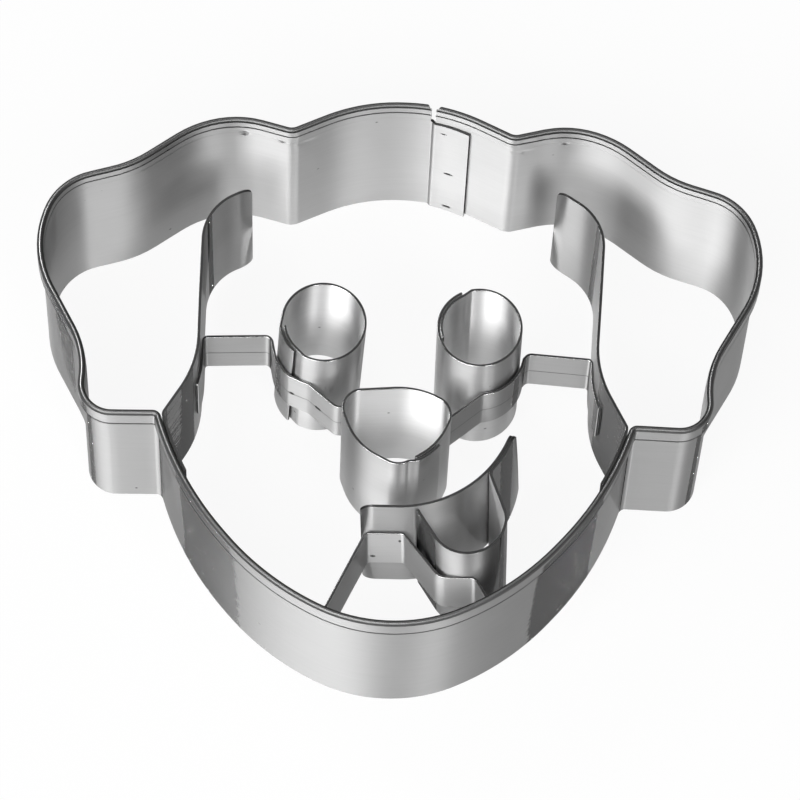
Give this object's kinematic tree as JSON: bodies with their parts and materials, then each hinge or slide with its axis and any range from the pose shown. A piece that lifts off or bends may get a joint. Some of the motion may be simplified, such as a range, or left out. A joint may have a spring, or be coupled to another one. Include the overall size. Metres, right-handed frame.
{
  "type": "cookie cutter",
  "caption": "Dog-head cookie cutter: a cutting band with a rolled rim and welded inner strips that print ears, eyes, nose, mouth and tongue.",
  "frame": {"origin": "middle of the outline's box, on the plane of the cutting edge", "axes": "+X to the right ear as seen from above the rim, +Y from the chin to the crown, +Z from the cutting edge up to the rolled rim"},
  "size_m": [0.079, 0.0612, 0.025],
  "materials": {
    "steel": "smooth cold-rolled stainless strip, satin with soft reflections"
  },
  "bodies": {
    "root": {"outer_band": "steel", "left_ear_strip": "steel", "right_ear_strip": "steel", "left_eye_ring": "steel", "right_eye_ring": "steel", "nose_ring": "steel", "face_bridge": "steel", "mouth_strip": "steel", "tongue_strip": "steel", "chin_bracket": "steel"}
  },
  "joints": []
}
